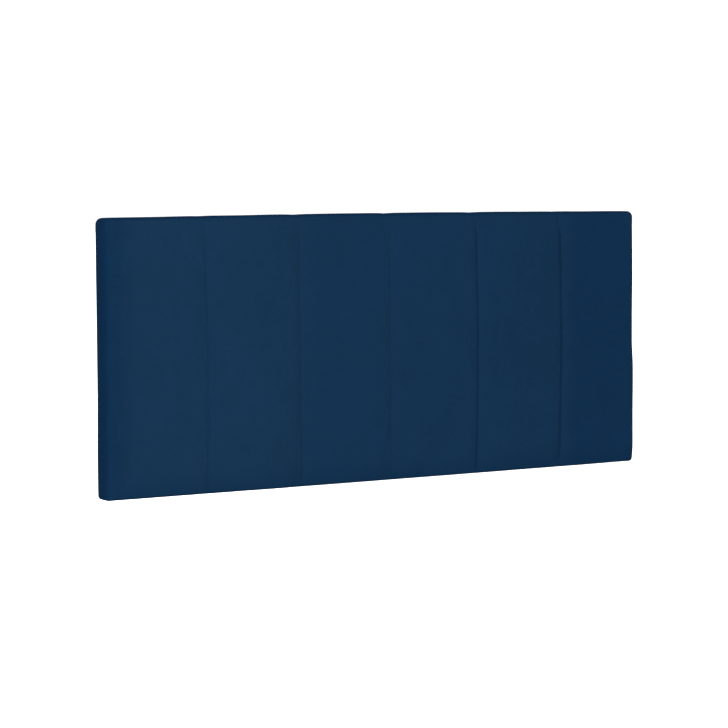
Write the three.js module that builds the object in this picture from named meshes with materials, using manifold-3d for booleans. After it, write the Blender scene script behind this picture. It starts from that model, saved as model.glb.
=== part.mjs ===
// A padded, channelled wall panel that hangs on a two-piece split batten.
// Millimetres, +Z up. The wall is the plane y = 0, and the padded front faces -Y.
// The origin is the centre of the wall batten's back face, where it meets the wall.

import * as THREE from 'three';
import { mergeVertices } from 'three/addons/utils/BufferGeometryUtils.js';
import Module from 'manifold-3d';

const wasm = await Module();
wasm.setup();

// Driving dimensions of the finished panel
const PANEL_WIDTH = 1400;
const PANEL_HEIGHT = 600;
const PANEL_BOTTOM = -500;
const CHANNEL_WIDTHS = [238, 233, 234, 241, 240, 214];
const GAP = 0.3;

// Thickness of each layer, from the wall towards the room
const BATTEN_DEPTH = 18;
const DUST_COVER_THICKNESS = 0.5;
const CLOTH_THICKNESS = 1.2;
const TIMBER_DEPTH = 20;
const BOARD_THICKNESS = 3;
const FOAM_DEPTH = 22;

// Timber frame
const TIMBER_WIDTH = 45;
const CORNER_BLOCK_LEG = 60;

// Cover and dust cover
const EDGE_RADIUS = 12;
const CORNER_RADIUS = 14;
const EDGE_STEPS = 3;
const HEM_WIDTH = 25;
const DUST_COVER_INSET = 12;
const CHANNEL_GAP = 1;

// Split batten
const BATTEN_LENGTH = 1000;
const WALL_BATTEN_BACK_HEIGHT = 50;
const PANEL_BATTEN_TOP_INSET = 15;
const BATTEN_SCREW_X = [-450, -225, 0, 225, 450];
const BATTEN_SCREW_TOP_INSET = 34;
const WALL_SCREW_X = [-400, -133, 133, 400];

// Lower spacers, which keep the panel parallel to the wall
const SPACER_X = 500;
const SPACER_WIDTH = 100;
const SPACER_HEIGHT = 40;
const SPACER_CENTRE_Z = PANEL_BOTTOM + 36;
const FELT_THICKNESS = 2;
const FELT_RADIUS = 18;
const FELT_SEGMENTS = 24;

// Fasteners
const ROUND_SEGMENTS = 12;
const PANEL_SCREW = { length: 35, shank: 2, head: 4.2, headDepth: 2.4 };
const SPACER_SCREW = { length: 32, shank: 2, head: 4.2, headDepth: 2.4 };
const WALL_SCREW = { length: 60, shank: 2.25, head: 4.5, headDepth: 2.9 };
const SCREW_HEAD_RIM = 0.6;
const SCREW_RECESS = 0.4;
const PLUG = { length: 63, radius: 4, tip: 3.2, collar: 6.6, collarDepth: 2.6 };
const PLUG_TIP_LENGTH = 8;
const CUT_MARGIN = 2;

// Planes worked out from the layers, all at y <= 0
const WALL_BATTEN_FRONT = -BATTEN_DEPTH;
const PANEL_BATTEN_BACK = -GAP;
const PANEL_BATTEN_FRONT = PANEL_BATTEN_BACK - BATTEN_DEPTH;
const DUST_COVER_BACK = PANEL_BATTEN_FRONT - GAP;
const DUST_COVER_FRONT = DUST_COVER_BACK - DUST_COVER_THICKNESS;
const HEM_BACK = DUST_COVER_FRONT - GAP;
const HEM_FRONT = HEM_BACK - CLOTH_THICKNESS;
const FRAME_BACK = HEM_FRONT - GAP;
const FRAME_FRONT = FRAME_BACK - TIMBER_DEPTH;
const BOARD_BACK = FRAME_FRONT - GAP;
const BOARD_FRONT = BOARD_BACK - BOARD_THICKNESS;
const FOAM_BACK = BOARD_FRONT - GAP;
const FOAM_FRONT = FOAM_BACK - FOAM_DEPTH;
const COVER_INNER_FRONT = FOAM_FRONT - GAP;
const COVER_FRONT = COVER_INNER_FRONT - CLOTH_THICKNESS;

// Outlines seen from the front, as half widths and heights
const PANEL_TOP = PANEL_BOTTOM + PANEL_HEIGHT;
const PANEL_CENTRE_Z = PANEL_BOTTOM + PANEL_HEIGHT / 2;
const FRAME_INSET = CLOTH_THICKNESS + GAP;
const FRAME_HALF_WIDTH = PANEL_WIDTH / 2 - FRAME_INSET;
const FRAME_BOTTOM = PANEL_BOTTOM + FRAME_INSET;
const FRAME_TOP = PANEL_TOP - FRAME_INSET;
const UPRIGHT_BOTTOM = FRAME_BOTTOM + TIMBER_WIDTH + GAP;
const UPRIGHT_TOP = FRAME_TOP - TIMBER_WIDTH - GAP;

// Materials

function material(color, roughness, metalness = 0) {
  return new THREE.MeshStandardMaterial({ color, roughness, metalness });
}

const pine = () => material(0xcfae7c, 0.75);
const hardboard = () => material(0x7a5636, 0.8);
const foam = () => material(0xe6e0cc, 0.95);
const suede = () => material(0x163450, 0.9);
const nonWoven = () => material(0x1b1b1d, 0.95);
const plywood = () => material(0xc8a878, 0.7);
const felt = () => material(0x6f6a63, 0.95);
const zincSteel = () => material(0xb9bcc0, 0.35, 0.9);
const nylon = () => material(0x8d9196, 0.5);

// Building helpers

const panel = new THREE.Group();

function addPart(name, geometry, finish) {
  const mesh = new THREE.Mesh(geometry, finish);
  mesh.name = name;
  panel.add(mesh);
}

function box([x0, x1], [y0, y1], [z0, z1]) {
  const geometry = new THREE.BoxGeometry(x1 - x0, Math.abs(y1 - y0), z1 - z0);
  return geometry.translate((x0 + x1) / 2, (y0 + y1) / 2, (z0 + z1) / 2);
}

function toSolid(geometry) {
  const bare = geometry.clone();
  bare.deleteAttribute('normal');
  bare.deleteAttribute('uv');
  const merged = mergeVertices(bare);
  const corners = Array.from(merged.index.array);
  const kept = [];
  for (let i = 0; i < corners.length; i += 3) {
    const [a, b, c] = corners.slice(i, i + 3);
    if (a !== b && b !== c && c !== a) kept.push(a, b, c);
  }
  return new wasm.Manifold(new wasm.Mesh({
    numProp: 3,
    vertProperties: new Float32Array(merged.attributes.position.array),
    triVerts: new Uint32Array(kept),
  }));
}

function toGeometry(solid) {
  const mesh = solid.getMesh();
  const geometry = new THREE.BufferGeometry();
  geometry.setAttribute('position', new THREE.BufferAttribute(mesh.vertProperties, 3));
  geometry.setIndex(new THREE.BufferAttribute(mesh.triVerts, 1));
  geometry.computeVertexNormals();
  return geometry;
}

function cut(geometry, cutters) {
  let solid = toSolid(geometry);
  for (const cutter of cutters) solid = solid.subtract(toSolid(cutter));
  return toGeometry(solid);
}

function common(geometry, keeper) {
  return toGeometry(toSolid(geometry).intersect(toSolid(keeper)));
}

// A prism along X from an outline of [y, z] points.
function prismAlongX(outline, length) {
  const shape = new THREE.Shape(outline.map(([y, z]) => new THREE.Vector2(y, z)));
  const geometry = new THREE.ExtrudeGeometry(shape, { depth: length, bevelEnabled: false });
  const axes = new THREE.Matrix4().makeBasis(
    new THREE.Vector3(0, 1, 0),
    new THREE.Vector3(0, 0, 1),
    new THREE.Vector3(1, 0, 0),
  );
  return geometry.applyMatrix4(axes).translate(-length / 2, 0, 0);
}

// The panel's outline less an inset all round, with its rounded corners.
function panelOutline(inset) {
  const radius = CORNER_RADIUS - inset;
  const x = PANEL_WIDTH / 2 - CORNER_RADIUS;
  const z = PANEL_HEIGHT / 2 - CORNER_RADIUS;
  const quarter = Math.PI / 2;
  const shape = new THREE.Shape();
  shape.absarc(-x, -z, radius, -2 * quarter, -quarter);
  shape.absarc(x, -z, radius, -quarter, 0);
  shape.absarc(x, z, radius, 0, quarter);
  shape.absarc(-x, z, radius, quarter, 2 * quarter);
  return shape;
}

// A slab with the panel's outline less an inset.
function outlineSlab(inset, [front, back]) {
  const settings = { depth: back - front, bevelEnabled: false, curveSegments: EDGE_STEPS };
  const geometry = new THREE.ExtrudeGeometry(panelOutline(inset), settings);
  return geometry.rotateX(Math.PI / 2).translate(0, back, PANEL_CENTRE_Z);
}

// Such a slab with its front edges rounded over.
function roundedSlab(inset, back, front) {
  const radius = EDGE_RADIUS - inset;
  const geometry = new THREE.ExtrudeGeometry(panelOutline(EDGE_RADIUS), {
    depth: back - front,
    bevelThickness: radius,
    bevelSize: radius,
    bevelSegments: EDGE_STEPS,
    curveSegments: EDGE_STEPS,
  });
  geometry.rotateX(Math.PI / 2).translate(0, back + radius, PANEL_CENTRE_Z);
  const keep = box([-PANEL_WIDTH, PANEL_WIDTH], [front, back], [PANEL_BOTTOM, PANEL_TOP]);
  return toSolid(geometry).intersect(toSolid(keep));
}

// A countersunk wood screw along Y with its head at the origin and its tip towards -Y.
// A screw grown by a clearance cuts its own hole.
function screw({ length, shank, head, headDepth }, grow = 0, above = 0) {
  const profile = [
    [0, -length - grow],
    [shank + grow, -length + shank * 3],
    [shank + grow, -headDepth],
    [head + grow, -SCREW_HEAD_RIM],
    [head + grow, above],
    [0, above],
  ];
  const points = profile.map(([r, y]) => new THREE.Vector2(r, y));
  return new THREE.LatheGeometry(points, ROUND_SEGMENTS);
}

// A nylon frame plug along Y with its collar at the origin and its tip towards -Y.
function plug() {
  const bore = WALL_SCREW.shank + GAP;
  const mouth = WALL_SCREW.head + 2 * GAP;
  const headSeat = WALL_SCREW.headDepth + 2 * GAP;
  const profile = [
    [bore, -PLUG.length],
    [PLUG.tip, -PLUG.length],
    [PLUG.radius, PLUG_TIP_LENGTH - PLUG.length],
    [PLUG.radius, -PLUG.collarDepth],
    [PLUG.collar, 0],
    [mouth, 0],
    [mouth, -SCREW_HEAD_RIM - GAP],
    [bore, -headSeat],
    [bore, -PLUG.length],
  ];
  const points = profile.map(([r, y]) => new THREE.Vector2(r, y));
  return new THREE.LatheGeometry(points, ROUND_SEGMENTS);
}

function plugHole() {
  const radius = PLUG.radius + GAP;
  const profile = [
    [0, -BATTEN_DEPTH - CUT_MARGIN],
    [radius, -BATTEN_DEPTH - CUT_MARGIN],
    [radius, -PLUG.collarDepth],
    [PLUG.collar + GAP, 0],
    [PLUG.collar + GAP, CUT_MARGIN],
    [0, CUT_MARGIN],
  ];
  const points = profile.map(([r, y]) => new THREE.Vector2(r, y));
  return new THREE.LatheGeometry(points, ROUND_SEGMENTS);
}

// Where the fasteners go

const battenScrewZ = PANEL_TOP - BATTEN_SCREW_TOP_INSET;
const battenScrewY = PANEL_BATTEN_BACK - SCREW_RECESS;
const spacerBack = -FELT_THICKNESS - GAP;
const spacerScrewY = spacerBack - SCREW_RECESS;
const plugY = WALL_BATTEN_FRONT + GAP;
const wallScrewY = plugY + GAP;

const battenHoles = BATTEN_SCREW_X.map((x) => (
  screw(PANEL_SCREW, GAP, CUT_MARGIN).translate(x, battenScrewY, battenScrewZ)
));
const spacerHoles = [-SPACER_X, SPACER_X].map((x) => (
  screw(SPACER_SCREW, GAP, CUT_MARGIN).translate(x, spacerScrewY, SPACER_CENTRE_Z)
));

// Timber frame

function addFrame() {
  const fullWidth = [-FRAME_HALF_WIDTH, FRAME_HALF_WIDTH];
  const depth = [FRAME_FRONT, FRAME_BACK];
  const outline = outlineSlab(FRAME_INSET, depth);
  const topRail = common(outline, box(fullWidth, depth, [FRAME_TOP - TIMBER_WIDTH, FRAME_TOP]));
  const bottomRail = common(outline, box(fullWidth, depth, [FRAME_BOTTOM, FRAME_BOTTOM + TIMBER_WIDTH]));
  addPart('frame_top_rail', cut(topRail, battenHoles), pine());
  addPart('frame_bottom_rail', cut(bottomRail, spacerHoles), pine());

  const uprightZ = [UPRIGHT_BOTTOM, UPRIGHT_TOP];
  const inner = FRAME_HALF_WIDTH - TIMBER_WIDTH;
  addPart('frame_left_stile', box([-FRAME_HALF_WIDTH, -inner], depth, uprightZ), pine());
  addPart('frame_right_stile', box([inner, FRAME_HALF_WIDTH], depth, uprightZ), pine());
  seamPositions().forEach((x, i) => {
    const span = [x - TIMBER_WIDTH / 2, x + TIMBER_WIDTH / 2];
    addPart(`frame_slat_${i + 1}`, box(span, depth, uprightZ), pine());
  });
}

// The seams between channels, from left to right; the last channel ends at the panel's edge.
function seamPositions() {
  let x = -PANEL_WIDTH / 2;
  return CHANNEL_WIDTHS.slice(0, -1).map((width) => {
    x += width;
    return x;
  });
}

// Triangular blocks glued into the corners of the frame.
function addCornerBlocks() {
  const shape = new THREE.Shape([
    new THREE.Vector2(0, 0),
    new THREE.Vector2(CORNER_BLOCK_LEG, 0),
    new THREE.Vector2(0, CORNER_BLOCK_LEG),
  ]);
  const depth = TIMBER_DEPTH - 2 * GAP;
  const x = FRAME_HALF_WIDTH - TIMBER_WIDTH - GAP;
  const places = [
    ['corner_block_bottom_left', -x, UPRIGHT_BOTTOM, 0],
    ['corner_block_bottom_right', x, UPRIGHT_BOTTOM, -Math.PI / 2],
    ['corner_block_top_right', x, UPRIGHT_TOP, Math.PI],
    ['corner_block_top_left', -x, UPRIGHT_TOP, Math.PI / 2],
  ];
  for (const [name, cornerX, cornerZ, turn] of places) {
    const block = new THREE.ExtrudeGeometry(shape, { depth, bevelEnabled: false });
    block.rotateX(Math.PI / 2).rotateY(turn).translate(cornerX, FRAME_BACK - GAP, cornerZ);
    addPart(name, block, pine());
  }
}

// Hardboard face and the foam strips glued to it, one for each channel.
function addPadding() {
  addPart('face_board', outlineSlab(FRAME_INSET, [BOARD_FRONT, BOARD_BACK]), hardboard());

  const sheet = roundedSlab(FRAME_INSET, FOAM_BACK, FOAM_FRONT);
  let left = -PANEL_WIDTH / 2;
  CHANNEL_WIDTHS.forEach((channelWidth, i) => {
    const span = [left + CHANNEL_GAP / 2, left + channelWidth - CHANNEL_GAP / 2];
    const strip = box(span, [FOAM_FRONT, FOAM_BACK], [PANEL_BOTTOM, PANEL_TOP]);
    addPart(`foam_channel_${i + 1}`, toGeometry(sheet.intersect(toSolid(strip))), foam());
    left += channelWidth;
  });
}

// The cover wraps the front and sides and turns over the frame as a hem.
function addCover() {
  const opening = box(
    [HEM_WIDTH - PANEL_WIDTH / 2, PANEL_WIDTH / 2 - HEM_WIDTH],
    [HEM_FRONT - CUT_MARGIN, HEM_BACK + CUT_MARGIN],
    [PANEL_BOTTOM + HEM_WIDTH, PANEL_TOP - HEM_WIDTH],
  );
  const cover = roundedSlab(0, HEM_BACK, COVER_FRONT)
    .subtract(roundedSlab(CLOTH_THICKNESS, HEM_FRONT, COVER_INNER_FRONT))
    .subtract(toSolid(opening));
  addPart('cover', toGeometry(cover), suede());

  const dustCover = box(
    [DUST_COVER_INSET - PANEL_WIDTH / 2, PANEL_WIDTH / 2 - DUST_COVER_INSET],
    [DUST_COVER_FRONT, DUST_COVER_BACK],
    [PANEL_BOTTOM + DUST_COVER_INSET, PANEL_TOP - DUST_COVER_INSET],
  );
  addPart('dust_cover', cut(dustCover, [...battenHoles, ...spacerHoles]), nonWoven());
}

// Both battens have a 45 degree edge; the panel's hooks down behind the wall's.
function addBattens() {
  const half = WALL_BATTEN_BACK_HEIGHT / 2;
  const wallBatten = prismAlongX([
    [0, -half],
    [0, half],
    [WALL_BATTEN_FRONT, half + BATTEN_DEPTH],
    [WALL_BATTEN_FRONT, -half],
  ], BATTEN_LENGTH);
  const plugHoles = WALL_SCREW_X.map((x) => plugHole().rotateX(Math.PI).translate(x, plugY, 0));
  addPart('wall_batten', cut(wallBatten, plugHoles), plywood());

  const bevelLow = half + GAP * Math.SQRT2 - PANEL_BATTEN_BACK;
  const top = PANEL_TOP - PANEL_BATTEN_TOP_INSET;
  const panelBatten = prismAlongX([
    [PANEL_BATTEN_BACK, bevelLow],
    [PANEL_BATTEN_BACK, top],
    [PANEL_BATTEN_FRONT, top],
    [PANEL_BATTEN_FRONT, bevelLow + BATTEN_DEPTH],
  ], BATTEN_LENGTH);
  addPart('panel_batten', cut(panelBatten, battenHoles), plywood());
}

function addSpacers() {
  const z = [SPACER_CENTRE_Z - SPACER_HEIGHT / 2, SPACER_CENTRE_Z + SPACER_HEIGHT / 2];
  ['left', 'right'].forEach((side, i) => {
    const x = i === 0 ? -SPACER_X : SPACER_X;
    const span = [x - SPACER_WIDTH / 2, x + SPACER_WIDTH / 2];
    const block = box(span, [PANEL_BATTEN_FRONT, spacerBack], z);
    addPart(`spacer_${side}`, cut(block, [spacerHoles[i]]), plywood());
    const pad = new THREE.CylinderGeometry(FELT_RADIUS, FELT_RADIUS, FELT_THICKNESS, FELT_SEGMENTS);
    addPart(`felt_pad_${side}`, pad.translate(x, -FELT_THICKNESS / 2, SPACER_CENTRE_Z), felt());
    const spacerScrew = screw(SPACER_SCREW).translate(x, spacerScrewY, SPACER_CENTRE_Z);
    addPart(`spacer_screw_${side}`, spacerScrew, zincSteel());
  });
}

function addBattenFasteners() {
  BATTEN_SCREW_X.forEach((x, i) => {
    const fastener = screw(PANEL_SCREW).translate(x, battenScrewY, battenScrewZ);
    addPart(`batten_screw_${i + 1}`, fastener, zincSteel());
  });
  WALL_SCREW_X.forEach((x, i) => {
    addPart(`wall_plug_${i + 1}`, plug().rotateX(Math.PI).translate(x, plugY, 0), nylon());
    const fastener = screw(WALL_SCREW).rotateX(Math.PI).translate(x, wallScrewY, 0);
    addPart(`wall_screw_${i + 1}`, fastener, zincSteel());
  });
}

addFrame();
addCornerBlocks();
addPadding();
addCover();
addBattens();
addSpacers();
addBattenFasteners();

export default panel;
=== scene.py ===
"""Looks of the padded wall panel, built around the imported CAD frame.

Metres, in the row frame: the wall is y = 0, the padded front faces -Y, and +Z is up.
"""

import math
import random

import bpy
import numpy as np
from mathutils import Matrix, Vector, noise
from mathutils.bvhtree import BVHTree


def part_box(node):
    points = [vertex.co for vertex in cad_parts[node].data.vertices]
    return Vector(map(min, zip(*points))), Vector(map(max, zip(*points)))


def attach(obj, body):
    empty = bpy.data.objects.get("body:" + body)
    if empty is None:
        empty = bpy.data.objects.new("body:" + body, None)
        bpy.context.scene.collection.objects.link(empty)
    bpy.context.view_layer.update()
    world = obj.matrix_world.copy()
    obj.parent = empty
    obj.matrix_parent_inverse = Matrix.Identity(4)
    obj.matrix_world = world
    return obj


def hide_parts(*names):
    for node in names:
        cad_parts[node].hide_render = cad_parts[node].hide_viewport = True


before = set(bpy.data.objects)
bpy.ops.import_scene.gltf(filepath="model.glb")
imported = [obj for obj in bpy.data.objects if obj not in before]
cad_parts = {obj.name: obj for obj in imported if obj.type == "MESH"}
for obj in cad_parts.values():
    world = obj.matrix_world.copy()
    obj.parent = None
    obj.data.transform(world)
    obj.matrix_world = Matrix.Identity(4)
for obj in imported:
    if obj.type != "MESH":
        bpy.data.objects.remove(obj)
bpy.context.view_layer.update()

MM = 0.001
PANEL = "panel"
WALL = "wall_mount"

# ---------------------------------------------------------------- measures

cover_low, cover_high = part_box("cover")
FRONT = cover_low.y
HEM_BACK = cover_high.y
CENTRE_Z = (cover_low.z + cover_high.z) / 2
HALF_WIDTH = cover_high.x
HALF_HEIGHT = (cover_high.z - cover_low.z) / 2

CHANNELS = [f"foam_channel_{i}" for i in range(1, 7)]
SEAMS = [
    (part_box(left)[1].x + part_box(right)[0].x) / 2
    for left, right in zip(CHANNELS, CHANNELS[1:])
]

CLOTH = 1.2 * MM
EDGE_RADIUS = 12 * MM
LEFT_ROLL = 22 * MM
CORNER_RADIUS = 14 * MM
FOOT_RADIUS = 8 * MM
LEAST_RADIUS = 1.5 * MM
BACK_RADIUS = 2.5 * MM
HEM_WIDTH = 25 * MM


# ---------------------------------------------------------------- mesh helpers


def add_object(name, data):
    made = bpy.data.objects.new(name, data)
    bpy.context.scene.collection.objects.link(made)
    return made


def link_mesh(name, points, faces, material):
    mesh = bpy.data.meshes.new(name)
    mesh.from_pydata([tuple(p) for p in points], [], [tuple(f) for f in faces])
    mesh.validate()
    mesh.materials.append(material)
    mesh.shade_smooth()
    return add_object(name, mesh)


def grid_faces(wide, tall, start=0, reverse=False):
    """The faces of a grid of points kept row by row."""
    faces = []
    for j in range(tall - 1):
        for i in range(wide - 1):
            a = start + j * wide + i
            around = (a, a + wide, a + wide + 1, a + 1) if reverse else (a, a + 1, a + wide + 1, a + wide)
            faces.append(around)
    return faces


def apply_modifiers(piece):
    bpy.context.view_layer.update()
    depsgraph = bpy.context.evaluated_depsgraph_get()
    baked = bpy.data.meshes.new_from_object(piece.evaluated_get(depsgraph))
    piece.modifiers.clear()
    piece.data = baked


def points_of(piece):
    flat = np.empty(len(piece.data.vertices) * 3)
    piece.data.vertices.foreach_get("co", flat)
    return flat.reshape(-1, 3)


def set_points(piece, points):
    piece.data.vertices.foreach_set("co", points.astype(np.float32).ravel())
    piece.data.update()


def smoothstep(low, high, value):
    t = np.clip((value - low) / (high - low), 0, 1)
    return t * t * (3 - 2 * t)


def wave(points, size, seed):
    """Smooth noise of about that wavelength at each point, from -1 to 1."""
    shift = Vector((seed * 7.3, seed * 3.1, seed * 5.7))
    return np.array([noise.noise(Vector(p) / size + shift) for p in points])


# ---------------------------------------------------------------- materials


class Shader:
    """A material under construction, with its Principled shader and its object coordinates."""

    def __init__(self, name, roughness=0.8, metallic=0.0, specular=0.5):
        self.material = bpy.data.materials.new(name)
        self.material.use_nodes = True
        self.tree = self.material.node_tree
        self.bsdf = self.tree.nodes["Principled BSDF"]
        self.bsdf.inputs["Roughness"].default_value = roughness
        self.bsdf.inputs["Metallic"].default_value = metallic
        self.bsdf.inputs["Specular IOR Level"].default_value = specular
        self.place = self.node("ShaderNodeTexCoord").outputs["Object"]

    def node(self, kind, **settings):
        made = self.tree.nodes.new(kind)
        for key, value in settings.items():
            setattr(made, key, value)
        return made

    def join(self, output, socket):
        self.tree.links.new(output, socket)

    def feed(self, socket, value):
        """Gives a socket a number, a colour, or another node's output."""
        if isinstance(value, (int, float)):
            socket.default_value = value
        elif isinstance(value, tuple):
            socket.default_value = (*value, 1)
        else:
            self.join(value, socket)

    def stretched(self, scale):
        mapping = self.node("ShaderNodeMapping")
        mapping.inputs["Scale"].default_value = scale
        self.join(self.place, mapping.inputs["Vector"])
        return mapping.outputs["Vector"]

    def texture(self, kind, stretch, **numbers):
        """A texture of the object's coordinates, which may be stretched along their axes."""
        made = self.node(kind)
        for name, number in numbers.items():
            made.inputs[name].default_value = number
        self.join(self.stretched(stretch) if stretch else self.place, made.inputs["Vector"])
        return made.outputs

    def noise(self, scale, detail=2.0, roughness=0.5, stretch=None):
        numbers = dict(Scale=scale, Detail=detail, Roughness=roughness)
        return self.texture("ShaderNodeTexNoise", stretch, **numbers)["Fac"]

    def cells(self, scale, randomness=1.0, stretch=None):
        return self.texture("ShaderNodeTexVoronoi", stretch, Scale=scale, Randomness=randomness)["Distance"]

    def math(self, operation, *values):
        made = self.node("ShaderNodeMath", operation=operation)
        for socket, value in zip(made.inputs, values):
            self.feed(socket, value)
        return made.outputs[0]

    def span(self, value, low, high, to_low, to_high, smooth=False):
        made = self.node("ShaderNodeMapRange")
        if smooth:
            made.interpolation_type = "SMOOTHSTEP"
        for socket, number in zip(list(made.inputs)[1:5], (low, high, to_low, to_high)):
            socket.default_value = number
        self.join(value, made.inputs["Value"])
        return made.outputs["Result"]

    def vary(self, texture, low, high):
        """A noise texture's usual range spread from low to high."""
        return self.span(texture, 0.3, 0.7, low, high)

    def ramp(self, value, *stops):
        made = self.node("ShaderNodeValToRGB")
        elements = made.color_ramp.elements
        while len(elements) < len(stops):
            elements.new(0.5)
        for element, (position, colour) in zip(elements, stops):
            element.position = position
            element.color = (*colour, 1)
        self.join(value, made.inputs["Fac"])
        return made.outputs["Color"]

    def tint(self, colour, factor):
        """The colour times a factor that varies over the surface."""
        made = self.node("ShaderNodeMix", data_type="RGBA", blend_type="MULTIPLY")
        made.inputs["Factor"].default_value = 1
        grey = self.node("ShaderNodeCombineColor")
        for socket in grey.inputs[:3]:
            self.join(factor, socket)
        self.feed(made.inputs[6], colour)
        self.join(grey.outputs[0], made.inputs[7])
        return made.outputs[2]

    def blend(self, factor, first, second):
        """A mix of two colours, each given as numbers or as an output."""
        made = self.node("ShaderNodeMix", data_type="RGBA")
        self.join(factor, made.inputs[0])
        self.feed(made.inputs[6], first)
        self.feed(made.inputs[7], second)
        return made.outputs[2]

    def colour(self, output):
        self.join(output, self.bsdf.inputs["Base Color"])

    def rough(self, value, low, high):
        self.join(self.vary(value, low, high), self.bsdf.inputs["Roughness"])

    def bump(self, height, depth, strength=1.0):
        made = self.node("ShaderNodeBump")
        made.inputs["Distance"].default_value = depth
        made.inputs["Strength"].default_value = strength
        self.join(height, made.inputs["Height"])
        if self.bsdf.inputs["Normal"].is_linked:
            self.join(self.bsdf.inputs["Normal"].links[0].from_socket, made.inputs["Normal"])
        self.join(made.outputs["Normal"], self.bsdf.inputs["Normal"])

    def part(self, vector, index):
        """One of a vector's three numbers."""
        parts = self.node("ShaderNodeSeparateXYZ")
        self.join(vector, parts.inputs[0])
        return parts.outputs[index]

    def axis(self, index):
        return self.part(self.place, index)


# The cloth's navy in three copies: lighter with a painted sheen, darker in painted shade, and darker still
# in painted shade on the cover's sides.
NAVY_PAINTED_SHEEN = (0.0070, 0.0304, 0.0708)
NAVY_PAINTED_SHADE = (0.0046, 0.0262, 0.0695)
NAVY_SIDE_PAINTED_SHADE = (0.0033, 0.0218, 0.0605)


def suede_material():
    """Short-napped suede cloth: brushed patches over fine fibres, with a painted sheen, painted shade on the
    last channel and rightwards of the second seam, and deeper painted shade on the sides, the left roll and
    the foot.
    """
    m = Shader("suede", roughness=0.85, specular=0.02)
    patches = m.vary(m.noise(5, 3, 0.55), 0.955, 1.045)
    strokes = m.vary(m.noise(38, 3, 0.6, (1, 1, 0.45)), 0.975, 1.025)
    nap = m.vary(m.noise(260, 2, 0.6, (1, 1, 0.55)), 0.94, 1.06)
    fibres = m.span(m.noise(1500, 3, 0.6, (1, 1, 0.5)), 0.25, 0.75, 0.84, 1.16)
    across = m.axis(0)
    # Painted shade on the front: the last channel, and a painted falloff rightwards from the second seam.
    last = m.span(across, SEAMS[-1] + 6 * MM, SEAMS[-1] + 45 * MM, 0.0, 0.55, smooth=True)
    painted_falloff = m.span(across, SEAMS[1] - 60 * MM, SEAMS[1] + 100 * MM, 0.0, 0.38, smooth=True)
    # Painted shade by facing on the cover's sides, and painted shade on the left roll and at the foot.
    facing = m.math("ABSOLUTE", m.part(m.node("ShaderNodeTexCoord").outputs["Normal"], 1))
    side = m.span(facing, 0.995, 0.70, 0.0, 1.0, smooth=True)
    left = m.span(across, 80 * MM - HALF_WIDTH, -10 * MM - HALF_WIDTH, 0.0, 0.8, smooth=True)
    low = CENTRE_Z - HALF_HEIGHT
    foot_painted_shade = m.span(m.axis(2), low + 70 * MM, low - 20 * MM, 0.0, 0.6, smooth=True)
    edge = m.math("MAXIMUM", side, m.math("MAXIMUM", left, foot_painted_shade))
    # The front's colour runs from the painted sheen to the painted shade.
    front = m.blend(m.math("ADD", last, painted_falloff), NAVY_PAINTED_SHEEN, NAVY_PAINTED_SHADE)
    brushed = m.math("MULTIPLY", patches, strokes)
    shade = m.math("MULTIPLY", brushed, m.math("MULTIPLY", nap, fibres))
    # The painted edge shade over the front's colour, times the random brushed tone.
    m.colour(m.tint(m.blend(edge, front, NAVY_SIDE_PAINTED_SHADE), shade))
    m.rough(m.noise(60, 3), 0.78, 0.92)
    m.bump(m.noise(1300, 4, 0.65), 0.25 * MM, 0.6)
    m.bump(m.noise(260, 2, 0.6, (1, 1, 0.55)), 0.3 * MM, 0.4)
    m.bump(m.noise(55, 3, 0.5), 0.6 * MM, 0.25)
    m.bsdf.inputs["Sheen Weight"].default_value = 0.03
    m.bsdf.inputs["Sheen Roughness"].default_value = 0.45
    m.bsdf.inputs["Sheen Tint"].default_value = (0.10, 0.45, 1.0, 1)
    return m.material


def thread_material():
    m = Shader("thread", roughness=0.7, specular=0.06)
    m.colour(m.tint((0.0058, 0.0265, 0.0640), m.vary(m.noise(2500, 2), 0.75, 1.25)))
    m.bump(m.noise(3500, 2), 0.08 * MM)
    return m.material


def dust_cover_material():
    """Spun-bonded cloth with its regular pattern of welded dots."""
    m = Shader("dust_cover", roughness=0.9, specular=0.2)
    dots = m.span(m.cells(620, 0.0, (1, 0, 1)), 0.15, 0.32, 0.0, 1.0, smooth=True)
    cloud = m.vary(m.noise(90, 4, 0.65), 0.75, 1.25)
    shade = m.math("MULTIPLY", cloud, m.span(dots, 0, 1, 1.5, 0.95))
    m.colour(m.tint((0.0185, 0.0185, 0.0200), shade))
    m.bump(dots, 0.12 * MM, 0.8)
    m.bump(m.noise(700, 3), 0.1 * MM, 0.6)
    return m.material


def timber_material(name, grain_axis):
    """Planed softwood with its grain along one axis."""
    m = Shader(name, roughness=0.7, specular=0.3)
    along = [1.0, 1.0, 1.0]
    along[grain_axis] = 0.035
    rings = m.noise(95, 3, 0.45, along)
    base = m.ramp(
        rings,
        (0.30, (0.67, 0.47, 0.25)),
        (0.50, (0.58, 0.37, 0.17)),
        (0.62, (0.42, 0.24, 0.09)),
        (0.68, (0.63, 0.43, 0.22)),
    )
    fine = m.noise(900, 3, 0.6, along)
    m.colour(m.tint(base, m.vary(fine, 0.86, 1.1)))
    m.bump(fine, 0.15 * MM, 0.5)
    m.rough(rings, 0.62, 0.8)
    return m.material


PLY_PAIR = 2.9 * MM


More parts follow.
